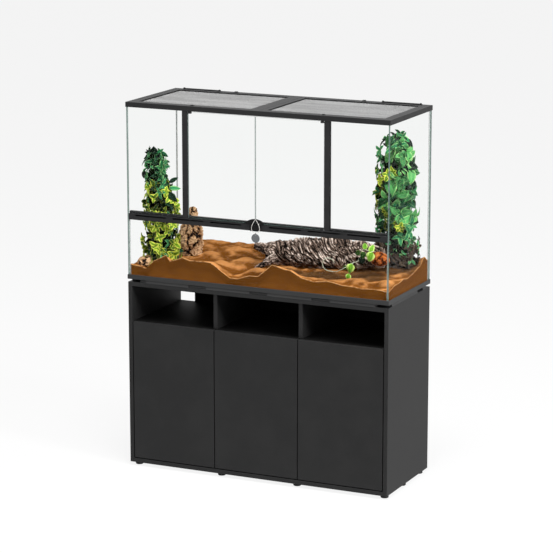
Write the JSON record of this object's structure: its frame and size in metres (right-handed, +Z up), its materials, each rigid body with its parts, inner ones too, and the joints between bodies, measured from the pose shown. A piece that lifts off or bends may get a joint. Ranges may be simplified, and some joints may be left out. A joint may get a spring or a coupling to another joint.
{
  "type": "terrarium cabinet",
  "caption": "Glass terrarium with hinged front doors, mesh lids and a planted landscape, on a black cabinet with open niches above flush doors.",
  "frame": {"origin": "on the floor at the centre of the stand's footprint", "axes": "+Z up, front towards -Y, +X to the right as seen from the front"},
  "size_m": [1.203, 0.4748, 1.5923],
  "materials": {
    "black_board": "black textured film on board, satin",
    "back_board": "black painted fibreboard, matte",
    "black_plastic": "black moulded plastic, satin",
    "grey_plastic": "light grey nylon",
    "steel": "nickel plated steel, satin",
    "tag_metal": "dark plated metal, satin",
    "mesh_wire": "fine woven steel wire, grey",
    "gauze": "black perforated strip",
    "glass": "clear float glass with green edges",
    "sand": "orange brown desert sand, dry",
    "bark": "cork bark, rough",
    "driftwood": "weathered wood, rough",
    "leaves_lime": "yellow green leaves",
    "leaves_deep": "deep green leaves"
  },
  "bodies": {
    "cabinet": {"cabinet_left_side": "black_board", "cabinet_right_side": "black_board", "cabinet_top": "black_board", "cabinet_bottom": "black_board", "middle_deck": "black_board", "niche_divider_left": "black_board", "niche_divider_right": "black_board", "lower_divider_left": "black_board", "lower_divider_right": "black_board", "cabinet_back": "back_board", "cabinet_feet": "black_plastic", "shelf_left": "black_board", "shelf_middle": "black_board", "shelf_right": "black_board", "shelf_pins": "steel", "push_latches": "black_plastic", "hinge_arms": "steel", "base_frame": "black_plastic", "base_pane": "glass", "back_pane": "glass", "left_pane": "glass", "right_pane": "glass", "front_lower_pane": "glass", "front_left_pane": "glass", "front_right_pane": "glass", "left_post": "black_plastic", "right_post": "black_plastic", "vent_rail": "black_plastic", "vent_gauze": "gauze", "top_frame": "black_plastic", "lock_body": "black_plastic", "sand_bed": "sand", "cork_bark": "bark", "driftwood_log": "driftwood", "plant_left": "leaves_lime", "plant_right": "leaves_deep", "vine_sprig": "leaves_lime"},
    "cabinet_door_left": {"door_left": "black_board", "door_left_fittings": "steel"},
    "cabinet_door_middle": {"door_middle": "black_board", "door_middle_fittings": "steel"},
    "cabinet_door_right": {"door_right": "black_board", "door_right_fittings": "steel"},
    "latch_plunger_left": {"plunger_left": "grey_plastic"},
    "latch_plunger_middle": {"plunger_middle": "grey_plastic"},
    "latch_plunger_right": {"plunger_right": "grey_plastic"},
    "tank_door_left": {"glass_door_left": "glass", "glass_door_left_hinges": "black_plastic", "grip_left": "black_plastic"},
    "tank_door_right": {"glass_door_right": "glass", "glass_door_right_hinges": "black_plastic", "grip_right": "black_plastic"},
    "lid_left": {"lid_left_frame": "black_plastic", "lid_left_mesh": "mesh_wire"},
    "lid_right": {"lid_right_frame": "black_plastic", "lid_right_mesh": "mesh_wire"},
    "cable_cover_left": {"cable_cover_left": "black_plastic"},
    "cable_cover_right": {"cable_cover_right": "black_plastic"},
    "wire_loop": {"wire_loop": "steel"},
    "loop_tag": {"loop_tag": "tag_metal"}
  },
  "joints": [
    {"name": "door_left_hinge", "type": "hinge", "parent": "cabinet", "child": "cabinet_door_left", "pos_m": [-0.568, -0.219, 0.3415], "axis": [0, 0, -1], "range_deg": [0, 95]},
    {"name": "door_middle_hinge", "type": "hinge", "parent": "cabinet", "child": "cabinet_door_middle", "pos_m": [-0.18133, -0.219, 0.3415], "axis": [0, 0, -1], "range_deg": [0, 95]},
    {"name": "door_right_hinge", "type": "hinge", "parent": "cabinet", "child": "cabinet_door_right", "pos_m": [0.568, -0.219, 0.3415], "axis": [0, 0, 1], "range_deg": [0, 95]},
    {"name": "plunger_left_slide", "type": "slide", "parent": "cabinet", "child": "latch_plunger_left", "axis": [0, 1, 0], "range_m": [0, 0.004], "stiffness_N_per_m": 500, "springref_m": -0.002},
    {"name": "plunger_middle_slide", "type": "slide", "parent": "cabinet", "child": "latch_plunger_middle", "axis": [0, 1, 0], "range_m": [0, 0.004], "stiffness_N_per_m": 500, "springref_m": -0.002},
    {"name": "plunger_right_slide", "type": "slide", "parent": "cabinet", "child": "latch_plunger_right", "axis": [0, 1, 0], "range_m": [0, 0.004], "stiffness_N_per_m": 500, "springref_m": -0.002},
    {"name": "tank_door_left_hinge", "type": "hinge", "parent": "cabinet", "child": "tank_door_left", "pos_m": [-0.3035, -0.223, 1.343], "axis": [0, 0, -1], "range_deg": [0, 110]},
    {"name": "tank_door_right_hinge", "type": "hinge", "parent": "cabinet", "child": "tank_door_right", "pos_m": [0.3035, -0.223, 1.343], "axis": [0, 0, 1], "range_deg": [0, 110]},
    {"name": "lid_left_lift", "type": "slide", "parent": "cabinet", "child": "lid_left", "axis": [0, 0, 1], "range_m": [0, 0.12]},
    {"name": "lid_right_lift", "type": "slide", "parent": "cabinet", "child": "lid_right", "axis": [0, 0, 1], "range_m": [0, 0.12]},
    {"name": "cable_cover_left_slide", "type": "slide", "parent": "cabinet", "child": "cable_cover_left", "axis": [1, 0, 0], "range_m": [0, 0.065]},
    {"name": "cable_cover_right_slide", "type": "slide", "parent": "cabinet", "child": "cable_cover_right", "axis": [-1, 0, 0], "range_m": [0, 0.065]},
    {"name": "wire_loop_swing", "type": "hinge", "parent": "tank_door_right", "child": "wire_loop", "pos_m": [0.0085, -0.241, 1.1316], "axis": [0, 1, 0], "range_deg": [-20, 20]},
    {"name": "loop_tag_swing", "type": "hinge", "parent": "wire_loop", "child": "loop_tag", "pos_m": [0.0085, -0.241, 1.078], "axis": [0, 1, 0], "range_deg": [-20, 20]}
  ]
}
